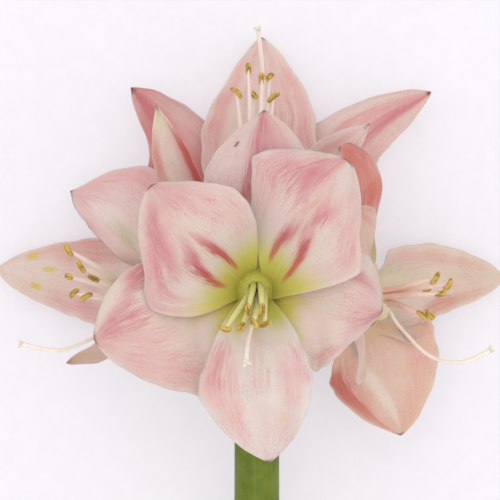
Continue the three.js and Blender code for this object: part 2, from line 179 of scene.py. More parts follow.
class Look:
    """A material being made. node() adds any node: its settings first, then its sockets."""

    def __init__(self, name):
        self.material = bpy.data.materials.new(name)
        self.material.use_nodes = True
        self.tree = self.material.node_tree
        self.tree.nodes.clear()

    def node(self, kind, settings=None, inputs=(), output=0):
        made = self.tree.nodes.new(kind)
        for key, value in (settings or {}).items():
            setattr(made, key, value)
        for key, value in inputs.items() if isinstance(inputs, dict) else enumerate(inputs):
            if isinstance(value, Value):
                self.tree.links.new(value.socket, made.inputs[key])
            else:
                made.inputs[key].default_value = value
        return Value(self, made.outputs[output]) if made.outputs else None

    def measure(self, name):
        return self.node("ShaderNodeAttribute", {"attribute_name": name}, output="Fac")

    def step(self, value, low, high):
        """0 below low and 1 above high, or the other way round where low is the larger."""
        settings = {"interpolation_type": "SMOOTHSTEP"}
        return self.node("ShaderNodeMapRange", settings, (value, low, high, 0.0, 1.0))

    def mix(self, first, second, share, blend="MIX"):
        settings = {"data_type": "RGBA", "blend_type": blend}
        return self.node("ShaderNodeMix", settings, {0: share, 6: first, 7: second}, output=2)

    def wash(self, first, second, value, low, high, strength=1.0):
        """From the first colour to the second, as value goes from low to high."""
        share = self.step(value, low, high)
        return self.mix(first, second, share if strength == 1 else share * strength)

    def place(self, x, y, z):
        return self.node("ShaderNodeCombineXYZ", None, (x, y, z))

    def noise(self, vector, scale, detail=2.0, roughness=0.5):
        inputs = {"Vector": vector, "Scale": scale, "Detail": detail, "Roughness": roughness}
        return self.node("ShaderNodeTexNoise", None, inputs)

    def grain(self, scale, detail=2.0, roughness=0.5):
        """Noise that keeps one size on every piece."""
        position = self.node("ShaderNodeTexCoord", None, output="Object")
        return self.noise(position, scale, detail, roughness)

    def finish(self, colour, height, depth, flesh=(0.0, 0.05), translucent=None, **sockets):
        """A Principled surface with a bump. flesh is the weight and scale of the light that spreads
        under it, and translucent the colour and share of the light that a thin piece lets through."""
        bump = self.node("ShaderNodeBump", None, {"Strength": 0.6, "Distance": depth, "Height": height})
        inputs = {"Base Color": colour, "Normal": bump, **sockets}
        inputs["Subsurface Weight"], inputs["Subsurface Scale"] = flesh
        surface = self.node("ShaderNodeBsdfPrincipled", None, inputs)
        if translucent:
            tint, share = translucent
            through = self.node("ShaderNodeBsdfTranslucent", None, {"Color": tint})
            surface = self.node("ShaderNodeMixShader", None, {0: share, 1: surface, 2: through})
        self.node("ShaderNodeOutputMaterial", None, {"Surface": surface})
        return self.material


def rgb(red, green, blue):
    """A colour as the eye names it, 0 to 255, in the shaders' linear light."""
    linear = []
    for c in (red / 255, green / 255, blue / 255):
        linear.append(c / 12.92 if c <= 0.04045 else ((c + 0.055) / 1.055) ** 2.4)
    return (*linear, 1.0)


def scape_material():
    look = Look("waxy_green_stalk")
    around, down = look.measure("around"), look.measure("down")
    lines = look.noise(look.place(around * 26.0, down * 3.0, 0.0), 1.0, 3.0)
    patches = look.grain(55.0, 3.0)
    colour = look.wash(rgb(112, 126, 44), rgb(88, 106, 38), patches, 0.35, 0.68)
    colour = look.wash(colour, rgb(134, 143, 62), lines, 0.52, 0.72, 0.55)
    bloom = look.step(look.grain(210.0, 3.0), 0.5, 0.7)
    colour = look.mix(colour, rgb(122, 136, 60), bloom * 0.22)
    colour = look.wash(colour, rgb(150, 152, 80), down, 0.06, 0.0, 0.6)
    flesh = look.measure("flesh")
    colour = look.mix(colour, rgb(196, 204, 138), flesh)
    pith = look.grain(700.0, 2.0)
    height = lines * 0.7 + pith * flesh
    rough = 0.34 + bloom * 0.16 + flesh * 0.2
    return look.finish(colour, height, 0.0006, (0.12, 0.003), Roughness=rough, **{"Specular IOR Level": 0.12})


def make_scape():
    sides, rings, hollow_rings = 72, 150, 30
    turn = turns(sides)
    ridges = 1 + 0.006 * np.cos(5 * turn + 0.6) + 0.004 * np.cos(9 * turn)
    wall = SCAPE_RADIUS - SCAPE_WALL
    edge, ease = 0.5, 0.6  # how far the cut's rims are rounded, across and along
    profile = [(0.3, 0.0), (SCAPE_RADIUS * 0.5, 0.0), (SCAPE_RADIUS * 0.8, -0.8)]
    profile += [(SCAPE_RADIUS * 0.93, -3.0), (SCAPE_RADIUS * 0.985, -7.0)]
    for h in np.linspace(-SCAPE_RADIUS, -SCAPE_LENGTH + ease, rings):
        profile.append((SCAPE_RADIUS * (1 - 0.012 * math.sin(h / 33) ** 2), h))
    outside = len(profile)
    profile += [(SCAPE_RADIUS - edge, -SCAPE_LENGTH), (wall + edge, -SCAPE_LENGTH)]
    profile.append((wall, -SCAPE_LENGTH + ease))
    for h in np.linspace(-SCAPE_LENGTH + 6, -SCAPE_LENGTH * SCAPE_HOLLOW, hollow_rings):
        profile.append((wall + 0.2 * math.sin(h / 5), h))
    profile.append((0.3, -SCAPE_LENGTH * SCAPE_HOLLOW + wall))
    profile = np.array(profile)
    up = np.cross(np.array((1.0, 0, 0)), SCAPE_AXIS)
    spokes = np.cos(turn)[:, None] * np.array((1.0, 0, 0)) + np.sin(turn)[:, None] * up
    points = []
    for r, h in profile:
        points.append(SCAPE_AXIS * h + r * ridges[:, None] * spokes)
    points = np.concatenate(points)
    points[:, 2] = np.maximum(points[:, 2], -REST)
    order = np.arange(len(profile))
    down = np.repeat(-profile[:, 1] / SCAPE_LENGTH, sides)
    flesh = np.repeat((order >= outside).astype(float), sides)
    around = np.tile(np.abs(turn / math.pi - 1), len(profile))
    faces = [tuple(reversed(f)) for f in ring_faces(len(profile), sides)]
    measures = {"down": down, "flesh": flesh, "around": around}
    piece("green_scape", "scape", "scape", points, faces, scape_material(), **measures)


make_scape()

# ---- Spathe ---------------------------------------------------------------------------------------
# Two dry, papery bracts that wrapped the bud and now hang withered from the top of the scape. The
# blade that they are made from is the one that the tepals use: a midrib, a width to each side of
# it and the way that the inner face looks, closed into a thin leaf.


def leaf(shape, thick, rows, columns, fine):
    """Points, faces and measures of a leaf. fine holds its small forms: how uneven its margin is,
    ruffle and waves, sway of the blade, the midrib's groove, the veins, its beak and a seed."""
    least_width, groove_width, floor_gap, near = 0.35, 1.7, 0.1, 0.008
    open_from, open_over = 0.3, 0.3  # the free part begins here, and is in full swing this much on
    beak_from, beak_over = 0.95, 0.05
    cycle = 6.28
    t = np.linspace(0, 1, rows + 1)
    along_rows = 1 - (1 - t) ** 1.5
    u, v = np.meshgrid(np.linspace(-1, 1, columns + 1), along_rows)
    phase = np.random.default_rng(fine["seed"]).uniform(0, 2 * math.pi, 12)

    def middle(u, v):
        p = spline(shape["mid"], v)
        ahead = spline(shape["mid"], np.minimum(1, v + 0.01))
        along = unit(ahead - spline(shape["mid"], np.maximum(0, v - 0.01)))
        across = unit(np.cross(along, unit(spline(shape["face"], v))))
        normal = np.cross(across, along)
        share = (u + 1) / 2
        left, right = spline(shape["left"], v), spline(shape["right"], v)
        taper = np.maximum(0, 1 - v**6) ** shape["tip"]
        free = np.clip((v - open_from) / open_over, 0, 1)
        uneven = 0.5 * np.sin(9 * v + phase[0] + 2.5 * share) + 0.4 * np.sin(24 * v + phase[1] - 2 * share)
        uneven = uneven + 0.3 * np.sin(57 * v + phase[8] + 3 * share)
        width = (left * (1 - share) + right * share) * taper * (1 + fine["uneven"] * free * uneven)
        width = np.maximum(least_width, width)
        wave = np.sin(fine["waves"] * v * cycle + phase[2] + 2 * share)
        wave = wave + 0.6 * np.sin(fine["waves"] * 2.3 * v * cycle + phase[3] + 3 * share)
        lift = spline(shape["cup"], v) * width * u * u
        lift = lift + fine["ruffle"] * free * np.abs(u) ** 3 * wave * np.minimum(1, width / 14)
        body = np.sin(4.2 * v + phase[4]) * np.sin(2.6 * u + phase[5])
        body = body + 0.5 * np.sin(7 * v - 3 * u + phase[6])
        lift = lift + fine["sway"] * free * body * np.minimum(1, width / 20)
        away = u * width
        groove = np.exp(-((away / groove_width) ** 2)) * (1 - 0.6 * v)
        veins = np.cos(u * fine["vein_count"] * math.pi + phase[7]) * np.minimum(1, width / 10)
        lift = lift - fine["groove"] * groove + fine["vein"] * veins * (1 - u**4)
        beak = fine["beak"] * np.clip((v - beak_from) / beak_over, 0, 1) ** 2
        return p + across * away[..., None] + normal * lift[..., None] + along * beak[..., None]

    centre = middle(u, v)
    centre[..., 2] = np.maximum(centre[..., 2], thick / 2 + floor_gap - REST)
    du = middle(np.minimum(1, u + near), v) - middle(np.maximum(-1, u - near), v)
    dv = middle(u, np.minimum(1, v + near)) - middle(u, np.maximum(0, v - near))
    normal = unit(np.cross(du, dv))
    half = (thick / 2) * (1 - 0.7 * u**4) * (1 - 0.35 * v**3)
    half = half + fine["groove"] * 0.3 * np.exp(-((u * 12) ** 2)) * (1 - v)
    points, measures = [], {"across": [], "along": [], "inner": []}
    for row in range(rows + 1):
        for side, order in ((1, slice(None)), (-1, slice(None, None, -1))):
            points.append((centre[row] + side * normal[row] * half[row][:, None])[order])
            measures["across"].append(u[row][order])
            measures["along"].append(v[row][order])
            measures["inner"].append(np.full(columns + 1, (1 + side) / 2))
    points = np.concatenate(points)
    points[:, 2] = np.maximum(points[:, 2], -REST)
    measures = {name: np.concatenate(values) for name, values in measures.items()}
    sides = 2 * (columns + 1)
    faces = ring_walls(rows + 1, sides)
    last = rows * sides
    for s in range(columns):
        a, b, c, d = s, s + 1, sides - 2 - s, sides - 1 - s
        faces.append((a, d, c, b))
        faces.append((last + a, last + b, last + c, last + d))
    return points, faces, measures


def spathe_material():
    look = Look("dry_papery_bract")
    across, along = look.measure("across"), look.measure("along")
    fibres = look.noise(look.place(across * 16.0, along * 2.0, 3.0), 1.0, 4.0, 0.6)
    blotches = look.grain(160.0, 4.0, 0.6)
    colour = look.wash(rgb(206, 172, 142), rgb(168, 118, 92), fibres, 0.42, 0.62)
    colour = look.wash(colour, rgb(126, 86, 62), blotches, 0.56, 0.72, 0.7)
    colour = look.wash(colour, rgb(148, 150, 92), along, 0.35, 0.0, 0.6)
    colour = look.wash(colour, rgb(120, 74, 52), along, 0.82, 1.0, 0.7)
    return look.finish(
        colour, fibres, 0.0009, (0.05, 0.001), (rgb(214, 176, 140), 0.25),
        Roughness=0.62 + blotches * 0.2, **{"Sheen Weight": 0.15},
    )


def make_spathe():
    material = spathe_material()
    out = SCAPE_RADIUS + 0.75
    stations = ((out, -4), (out + 2, -16), (out + 4, -28), (out + 5.5, -37), (out + 5.5, -45))
    for side, turn in (("left", -1), ("right", 1)):
        shape = {
            "mid": [np.array((turn * r, 0.0, 0.0)) + SCAPE_AXIS * h for r, h in stations],
            "left": (5, 7.5, 7, 5, 3), "right": (5, 7.5, 7, 5, 3),
            "face": ((-turn, 0, 0), (-turn, 0, 0.2), (-turn, 0, 0.5)),
            "cup": (0.15, 0.25, 0.3), "tip": 0.8,
        }
        fine = {
            "seed": 40 + turn, "uneven": 0.08, "waves": 2.2, "ruffle": 1.0, "sway": 0.6,
            "groove": 0.3, "vein": 0.12, "vein_count": 7, "beak": 0.0,
        }
        points, faces, measures = leaf(shape, 0.5, 60, 22, fine)
        piece(f"papery_spathe_{side}", f"spathe_{side}", "spathe", points, faces, material, **measures)


make_spathe()

# ---- Pedicels -------------------------------------------------------------------------------------
# Each flower stands on a green stalk that swells into a three-sided ovary and then widens into the
# yellow-green tube whose rim carries the tepals. All of it is one grown piece.
RIM_RADIUS, INNER_RING, OUTER_RING, STAMEN_RING = 11.0, 6.8, 9.7, 3.8
RIM_GAP = 0.3  # between the rim and what grows from it
OVARY_RADIUS, PEDICEL_RADIUS = 7.4, 4.6
FOOT = SCAPE_RADIUS * 0.57
STALKS = {
    "front": dict(rim=(-1, 34, 62), axis=(0, 0.02, 1), top=(0, 1, 0), foot=(0, 1), bend=(0, 22, 22)),
    "left": dict(rim=(-46, 28, -4), axis=(-0.97, 0.1, -0.2), top=(0, 1, 0), foot=(-1, 0), bend=(-18, 20, -1)),
    "right": dict(rim=(48, 26, -4), axis=(0.97, 0.1, -0.2), top=(0, 1, 0), foot=(1, 0), bend=(18, 19, -1)),
    "back": dict(
        rim=(0, 52, -18), axis=(0, 0.97, -0.24), top=(0, 0.24, 0.97), foot=(0, -1), bend=(0, 22, -10)
    ),
}


class Mouth:
    """Where a flower's tube ends: its rim, the way it opens, and directions round it."""

    def __init__(self, rim, axis, top, foot, bend):
        self.rim = np.array(rim, float)
        self.axis = unit(np.array(axis, float))
        top = np.array(top, float)
        self.top = unit(top - self.axis * top.dot(self.axis))
        self.side = np.cross(self.top, self.axis)
        self.foot, self.bend = foot, np.array(bend, float)

    def around(self, degrees):
        a = math.radians(degrees)
        return self.top * math.cos(a) + self.side * math.sin(a)

    def at(self, direction, radius, height):
        return self.rim + direction * radius + self.axis * height


MOUTHS = {name: Mouth(**stalk) for name, stalk in STALKS.items()}


def pedicel_material():
    look = Look("green_flower_stalk")
    along, around = look.measure("along"), look.measure("around")
    lines = look.noise(look.place(around * 14.0, along * 4.0, 1.0), 1.0, 3.0)
    colour = look.wash(rgb(112, 128, 52), rgb(154, 160, 74), along, 0.45, 0.8)
    colour = look.wash(colour, rgb(196, 190, 112), along, 0.78, 1.0)
    flush = look.step(lines, 0.56, 0.74) * look.step(along, 0.9, 0.4)
    colour = look.mix(colour, rgb(164, 104, 78), flush * 0.4)
    patches = look.grain(130.0, 3.0)
    colour = look.wash(colour, rgb(92, 112, 42), patches, 0.48, 0.72, 0.5)
    return look.finish(
        colour, lines, 0.0005, (0.15, 0.003), Roughness=0.36 + patches * 0.14,
        **{"Coat Weight": 0.1, "Coat Roughness": 0.3},
    )


def make_pedicels():
    material = pedicel_material()
    scape_top = np.array((0, -math.sin(SLOPE), math.cos(SLOPE)))
    for flower, mouth in MOUTHS.items():
        foot_x, foot_z = mouth.foot
        foot = np.array((foot_x * FOOT, 0, 0)) + scape_top * foot_z * FOOT + SCAPE_AXIS * 0.3
        stations = [
            foot, foot + SCAPE_AXIS * 8, mouth.bend,
            mouth.at(mouth.axis, 0, -24), mouth.at(mouth.axis, 0, -10), mouth.rim,
        ]
        radii = (FOOT * 0.53, FOOT * 0.53, PEDICEL_RADIUS, OVARY_RADIUS, RIM_RADIUS * 0.62, RIM_RADIUS)
        rings, sides = 90, 36
        t = np.linspace(0, 1, rings)
        turn = turns(sides)
        swell = np.exp(-(((t - 0.6) / 0.13) ** 2))[:, None]
        radius = spline(radii, t)[:, None] * (1 + 0.07 * swell * np.cos(3 * turn) + 0.012 * np.cos(6 * turn))
        points = sweep(spline(stations, t), radius, sides)
        along, around = np.repeat(t, sides), np.tile(np.abs(turn / math.pi - 1), rings)
        faces = ring_faces(rings, sides)
        name = f"{flower}_pedicel"
        piece(f"{name}_and_ovary", name, "pedicel", points, faces, material, along=along, around=around)


make_pedicels()

# ---- Front flower's tepals ------------------------------------------------------------------------
# Soft satin tepals, thin at their margins, grooved along the midrib and finely veined. They are
# cream washed and streaked with pink, and yellow-green in the throat, and grow from the tube's rim.
# A stroke is a colour, where it starts and ends as (across, along), its half width and strength,
# all in percent. mid and face give a tepal's midrib and where its inner face looks, past the claw.
CREAM, WHITE, PALE = rgb(232, 215, 202), rgb(236, 226, 218), rgb(230, 205, 198)
BLUSH, PINK, ROSE = rgb(233, 188, 183), rgb(226, 160, 161), rgb(209, 124, 134)
RED, CORAL, SALMON = rgb(194, 84, 76), rgb(214, 112, 98), rgb(212, 142, 130)
MAUVE, BROWN, OCHRE = rgb(214, 178, 180), rgb(120, 66, 48), rgb(214, 184, 104)
LIME, OLIVE, STRAW, SAGE = rgb(206, 200, 96), rgb(176, 168, 40), rgb(226, 216, 176), rgb(186, 188, 148)
YELLOW, KHAKI, BEIGE = rgb(220, 204, 92), rgb(168, 142, 90), rgb(228, 194, 174)
TEPAL_THICKNESS = 0.8
SPOT_LENGTH = 0.08  # a stroke shorter than this is a spot, or a smudge of pollen


def tepal_material(name, ground, strokes, throat, tone, seed):
    look = Look(name)
    across, along, inner = look.measure("across"), look.measure("along"), look.measure("inner")
    broad = look.noise(look.place(across * 8.0, along * 2.6, seed), 1.0, 3.0, 0.55)
    streaks = look.step(broad, 0.3, 0.7)
    fine = look.noise(look.place(across * 76.0, along * 9.0, seed + 7.0), 1.0, 4.0, 0.7)
    lines = look.step(fine, 0.4, 0.62)
    clouds = look.grain(60.0, 4.0)
    cells = look.grain(1100.0, 3.0, 0.7)
    feathered = along + (streaks - 0.5) * 0.1 + (lines - 0.5) * 0.08
    wander = across + (lines - 0.5) * 0.06 + (clouds - 0.5) * 0.16

    def off_line(value, u0, v0, u1, v1):
        slope = (u1 - u0) / (v1 - v0)
        return abs(value - (along * slope + (u0 - slope * v0)))

    colour = look.wash(ground, PALE, look.grain(42.0, 2.0), 0.4, 0.65, 0.6)
    for tint, u0, v0, u1, v1, half_width, strength in strokes:
        if v1 - v0 < SPOT_LENGTH:
            spot = look.step(abs(across - u0), half_width, half_width * 0.4)
            spot = spot * look.step(abs(along - (v0 + v1) / 2), (v1 - v0) / 2, (v1 - v0) / 5)
            colour = look.mix(colour, tint, spot * (lines * 0.3 + 0.7) * strength)
            continue
        band = look.step(off_line(wander, u0, v0, u1, v1), half_width, half_width * 0.25)
        soft = min(0.1, (v1 - v0) * 0.4)
        start = look.step(feathered, v0 - soft * 0.6, v0 + soft)
        end = look.step(feathered, v1 + soft * 0.6, v1 - soft) if v1 < 1 else 1.0
        grain = streaks * 0.25 + lines * 0.42 + look.step(clouds, 0.3, 0.7) * 0.25 + 0.42
        share = look.node("ShaderNodeClamp", None, (band * start * end * grain * strength,))
        colour = look.mix(colour, tint, share)
    hair = look.step(fine, 0.52, 0.66) * look.step(along, 0.3, 0.55)
    colour = look.mix(colour, rgb(208, 104, 118), hair * look.step(clouds, 0.34, 0.62) * 0.42)
    colour = look.wash(colour, WHITE, fine, 0.46, 0.34, 0.35)
    speckle = look.step(cells, 0.5, 0.62) * look.step(along, 0.36, 0.6)
    colour = look.mix(colour, ROSE, speckle * look.step(clouds, 0.3, 0.66) * 0.3)
    colour = look.wash(colour, WHITE, cells, 0.44, 0.34, 0.22)
    light, dark, reach = throat
    claw = look.step(along + (streaks - 0.5) * 0.03, reach + 0.08, reach - 0.07)
    colour = look.mix(colour, light, claw)
    colour = look.wash(colour, dark, along, reach - 0.02, 0.08, 0.85)
    for tint, u0, v0, u1, v1, half_width, strength in strokes:
        if tint is RED:  # these lie over all else, each in a feathered blaze of rose
            off = off_line(across + (lines - 0.5) * 0.05, u0, v0, u1, v1)
            blaze = look.step(off, half_width * 1.9, half_width * 0.3) * look.step(along, v0, v0 + 0.1)
            blaze = blaze * look.step(feathered, v1 + 0.14, v1 - 0.1)
            colour = look.mix(colour, ROSE, blaze * (lines * 0.5 + 0.3) * strength)
            band = look.step(off, half_width, half_width * 0.4)
            start = look.step(along, v0 - 0.02, v0 + 0.06)
            end = look.step(feathered, v1 + 0.02, v1 - 0.14)
            colour = look.mix(colour, tint, band * start * end * (lines * 0.3 + 0.7) * strength)
    tip = look.step(along, 0.986, 0.999)
    colour = look.mix(colour, BROWN, tip * 0.6)
    rib = look.step(abs(across), 0.05, 0.0) * look.step(along, 1.0, 0.5)
    colour = look.mix(colour, rgb(226, 216, 168), rib * 0.35)
    # Painted highlight: a thin pale band along every margin.
    painted_edge_highlight = look.step(abs(across), 0.965, 0.995)
    colour = look.mix(colour, rgb(240, 214, 206), painted_edge_highlight * 0.6)
    keel = look.step(abs(across), 0.16, 0.02) * look.step(along, 0.95, 0.4)
    back = look.mix(colour, rgb(230, 198, 184), 0.4)
    back = look.mix(back, rgb(186, 186, 122), keel * 0.7)
    colour = look.mix(back, colour, inner)
    # Painted shade: each flower's tone is multiplied into all its tepals' colour and dims them, the front
    # flower's most.
    colour = look.mix(colour, tone, 1.0, "MULTIPLY")
    height = fine * 0.7 + broad * 0.6 + cells * 0.25
    return look.finish(
        colour, height, 0.0006, (0.2, 0.003), (rgb(238, 196, 186), 0.16),
        Roughness=0.44 + broad * 0.16 + cells * 0.08,
        **{
            "Subsurface Radius": (1.0, 0.45, 0.35), "Specular IOR Level": 0.35,
            "Sheen Weight": 0.12, "Sheen Roughness": 0.4,
            # Painted light: the claws glow faintly in the throat's darker green, which lifts the shade inside
            # the funnel.
            "Emission Color": look.mix(rgb(0, 0, 0), dark, claw), "Emission Strength": 0.1,
        },
    )


class Flower:
    """A flower's tepals. They share its mouth, its throat (two greens and how far up they reach),
    its tone, a painted shade that darkens all their colour, how uneven their margins are and the
    seeds of their small forms."""

    def __init__(self, name, throat, tone, seed, uneven=0.05):
        self.name, self.mouth = name, MOUTHS[name]
        self.throat, self.tone, self.uneven = throat, tone, uneven
        self.seed, self.count = seed, 0

    def tepal(
        self, place, ground, *strokes, azimuth, mid, face, cup, tip, ruffle, sides=None, left=None, right=None
    ):
        """sides are its half widths at the quarters of its length, where left and right don't differ."""
        left, right = left or sides, right or sides
        is_inner = round(azimuth / 60) % 2 == 1
        out = self.mouth.around(azimuth)
        ring = INNER_RING if is_inner else OUTER_RING
        claw = ring * (0.8 if is_inner else 0.72)
        claw_cup = (0.5, 0.42) if is_inner else (0.4, 0.34)
        strokes = [(tint, *(n / 100 for n in (*a, *b, *rest))) for tint, a, b, *rest in strokes]
        middle, end = (np.array(f, float) for f in face)
        first, last = cup
        shape = {
            "mid": [self.mouth.at(out, ring, RIM_GAP), self.mouth.at(out, ring * 1.5 + 2, 19), *mid],
            "left": (claw, *left), "right": (claw, *right), "tip": tip,
            "face": (-out, -out + 0.45 * self.mouth.axis + 0.25 * middle, middle, middle + end, end),
            "cup": (*claw_cup, first, (first + last) / 2, last),
        }
        fine = {
            "seed": self.seed + self.count, "uneven": self.uneven, "waves": 1.7, "ruffle": ruffle,
            "sway": 1.3, "groove": 0.55, "vein": 0.07, "vein_count": 17, "beak": 2.2,
        }
        points, faces, measures = leaf(shape, TEPAL_THICKNESS, 84, 40, fine)
        node = f"{self.name}_tepal_{place}"
        seed = self.seed + self.count * 1.7
        material = tepal_material(node, ground, strokes, self.throat, self.tone, seed)
        piece(f"{self.name}_petal_{place}", node, "tepal", points, faces, material, **measures)
        self.count += 1


# The front flower's tone is the strongest painted shade, a dimming of all its tepals.
front = Flower("front", (LIME, OLIVE, 0.38), rgb(241, 244, 243), seed=3, uneven=0.035)
front.tepal(
    "upper_left", CREAM, (PINK, (-10, 66), (10, 100), 130, 55), (ROSE, (-66, 50), (-42, 90), 34, 75),
    (PINK, (-90, 40), (-85, 75), 30, 70), (PINK, (55, 74), (35, 100), 50, 50),
    (BLUSH, (70, 42), (70, 80), 40, 50), (CREAM, (5, 56), (16, 84), 26, 60),
    (ROSE, (-34, 44), (-12, 66), 17, 70), (PINK, (12, 50), (2, 64), 10, 70),
    (RED, (-44, 29), (-16, 56), 8.5, 100), (RED, (24, 29), (8, 56), 7.5, 100),
    azimuth=-60, mid=((-28, 55, 104), (-47, 73, 115), (-60, 92, 111)), left=(13.5, 46, 28, 17),
    right=(13.5, 35, 38, 23), face=((-0.06, -0.12, 1), (-0.1, 0, 1)), cup=(0.1, -0.06), tip=0.5, ruffle=1.0,
)
front.tepal(
    "upper_right", CREAM, (PINK, (0, 62), (0, 100), 130, 50), (ROSE, (-50, 66), (-30, 100), 40, 70),
    (PINK, (-80, 50), (-70, 85), 30, 60), (ROSE, (25, 60), (20, 76), 22, 55),
    (PINK, (75, 40), (80, 80), 25, 50), (WHITE, (20, 78), (30, 100), 40, 60),
    (ROSE, (-20, 40), (-2, 62), 20, 80), (PINK, (24, 44), (8, 62), 16, 80),
    (RED, (-46, 31), (-12, 50), 10, 100), (RED, (45, 28), (14, 52), 10, 100),
    azimuth=60, mid=((23, 66, 99), (37, 87, 106), (51, 107, 101)), left=(8, 32, 49, 31),
    right=(12.3, 42, 30, 21), face=((-0.14, 0.02, 1), (0.02, 0.14, 1)), cup=(0.08, -0.06), tip=0.5,
    ruffle=1.0,
)
front.tepal(
    "bottom", WHITE, (BLUSH, (-60, 50), (-50, 86), 40, 80), (PINK, (-86, 50), (-84, 70), 12, 40),
    (BLUSH, (66, 50), (70, 90), 35, 90), (PINK, (85, 46), (84, 78), 24, 65),
    (PALE, (10, 56), (10, 90), 30, 60), (LIME, (-80, 20), (-62, 44), 30, 70),
    (LIME, (80, 20), (66, 44), 25, 70), (OCHRE, (-10, 62), (-10, 65.5), 6, 50),
    (YELLOW, (-40, 80), (-40, 86), 5, 50),
    azimuth=180, mid=((2, 2, 104), (5, -27, 117), (7, -62, 119)), left=(11, 23, 31, 23),
    right=(11, 29, 42, 33), face=((0, 0.3, 1), (0, -0.05, 1)), cup=(0.1, 0.04), tip=0.75, ruffle=0.8,
)
front.tepal(
    "left", CREAM, (PINK, (-50, 62), (-30, 100), 80, 55), (ROSE, (35, 74), (20, 98), 50, 85),
    (ROSE, (85, 60), (80, 84), 30, 85), (BLUSH, (-70, 50), (-70, 90), 30, 60),
    (LIME, (6, 30), (-20, 56), 12, 60),
    azimuth=-120, mid=((-38, 22, 91), (-63, 13, 98), (-92, 6, 94)), left=(14, 54, 42, 28),
    right=(13, 30, 40, 32), face=((0.15, 0, 1), (-0.1, 0, 1)), cup=(0.05, -0.05), tip=0.6, ruffle=1.2,
)
front.tepal(
    "right", CREAM, (PINK, (50, 70), (30, 100), 60, 55), (ROSE, (50, 90), (20, 100), 60, 60),
    (ROSE, (-62, 58), (-50, 90), 20, 75), (BLUSH, (-20, 70), (-10, 100), 40, 60),
    (LIME, (-10, 30), (12, 52), 16, 60), (PINK, (85, 50), (80, 80), 15, 50),
    azimuth=120, mid=((33, 28, 90), (53, 26, 94), (71, 22, 82)), left=(13, 31, 37, 34),
    right=(14, 42, 33, 20), face=((-0.15, 0, 1), (0.35, 0, 1)), cup=(0.05, -0.08), tip=0.6, ruffle=1.2,
)
front.tepal(
    "top", PALE, (ROSE, (10, 66), (-2, 100), 50, 85), (ROSE, (-34, 45), (-10, 80), 14, 100),
    (WHITE, (-70, 50), (-66, 70), 20, 50), (PALE, (-75, 55), (-60, 90), 30, 80),
    (PINK, (50, 70), (40, 100), 40, 60), (PALE, (10, 55), (15, 78), 12, 50),
    (BROWN, (-62, 80), (-62, 84), 6, 90),
    azimuth=0, mid=((1, 83, 87), (2, 109, 91), (4, 136, 84)), left=(13, 30, 33, 20), right=(13, 28, 35, 30),
    face=((0, -0.15, 1), (0, 0.15, 1)), cup=(0.05, -0.08), tip=0.8, ruffle=1.6,
)

# ---- Left flower's tepals -------------------------------------------------------------------------
# Seen from the side: the broad upper and far ones show their inner faces, pink at the margins.
left = Flower("left", (SAGE, LIME, 0.3), rgb(252, 253, 253), seed=13)
left.tepal(
    "top", PALE, (PINK, (30, 80), (10, 100), 100, 60), (PINK, (-70, 55), (-80, 80), 50, 65),
    (WHITE, (15, 50), (0, 86), 30, 80), (SAGE, (15, 36), (10, 62), 30, 70),
    (PINK, (85, 62), (80, 90), 30, 60),
    azimuth=0, mid=((-80, 63, -10), (-95, 80, -24), (-112, 92, -38)), left=(7, 11, 13, 12),
    right=(12, 38, 46, 26), face=((0.5, -0.2, 1), (0.1, 0.1, 1)), cup=(0.12, 0.05), tip=0.85, ruffle=1.4,
)
left.tepal(
    "far", CREAM, (SALMON, (70, 45), (60, 84), 36, 60), (PINK, (90, 55), (84, 86), 16, 80),
    (PINK, (-75, 50), (-70, 80), 35, 75), (WHITE, (10, 84), (5, 100), 80, 70),
    (BLUSH, (-10, 45), (0, 72), 40, 80), (YELLOW, (70, 85.5), (70, 90), 22, 100),
    (YELLOW, (14, 80), (14, 85), 12, 100), (YELLOW, (-50, 84), (-50, 88.5), 16, 100),
    azimuth=-60, mid=((-85, 37, -38), (-114, 41, -56), (-157, 45, -50)), left=(11, 28, 27, 23),
    right=(8, 26, 25, 20), face=((0.3, 0, 1), (-0.1, 0, 1)), cup=(0.12, 0.02), tip=0.75, ruffle=1.2,
)
left.tepal(
    "near", PALE, (PINK, (60, 50), (40, 95), 50, 60), (PINK, (-60, 50), (-40, 95), 50, 60),
    (SAGE, (0, 30), (0, 70), 20, 50),
    azimuth=60, mid=((-66, 50, 34), (-64, 68, 54), (-56, 84, 70)), sides=(11, 19, 20, 16),
    face=((0.9, 0, -0.3), (0.5, 0, -0.9)), cup=(0.2, -0.1), tip=0.7, ruffle=1.4,
)
left.tepal(
    "bottom", KHAKI, (MAUVE, (70, 40), (60, 100), 50, 90), (OCHRE, (-20, 50), (-10, 94), 20, 90),
    (ROSE, (90, 50), (80, 100), 20, 60), (BROWN, (0, 95), (0, 100), 80, 40),
    azimuth=180, mid=((-74, 1, -9), (-93, -6, -5), (-112, -10, 4)), left=(7, 10, 14, 11),
    right=(7, 12, 16, 12), face=((0, 1, -0.3), (0.2, 0.7, -0.9)), cup=(0.3, 0.3), tip=0.7, ruffle=1.0,
)
left.tepal(
    "lower_near", PALE, (PINK, (60, 50), (40, 95), 50, 60), (ROSE, (-80, 60), (-60, 95), 30, 60),
    (SAGE, (0, 30), (0, 70), 20, 50),
    azimuth=120, mid=((-67, 13, 40), (-74, 6, 60), (-76, 4, 78)), sides=(12, 18, 20, 16),
    face=((0.7, 0.4, -0.5), (0.6, 0.3, -0.7)), cup=(0.2, -0.1), tip=0.7, ruffle=1.4,
)
left.tepal(
    "lower_far", PALE, (PINK, (60, 50), (50, 95), 50, 60), (PINK, (-60, 50), (-50, 95), 40, 60),
    (LIME, (0, 20), (0, 60), 25, 50),
    azimuth=-120, mid=((-80, 14, -44), (-98, 22, -66), (-120, 34, -71)), left=(8, 12, 11, 9),
    right=(12, 20, 20, 15), face=((0.3, 0.2, 1), (0, 0, 1)), cup=(0.15, 0.05), tip=0.7, ruffle=1.2,
)
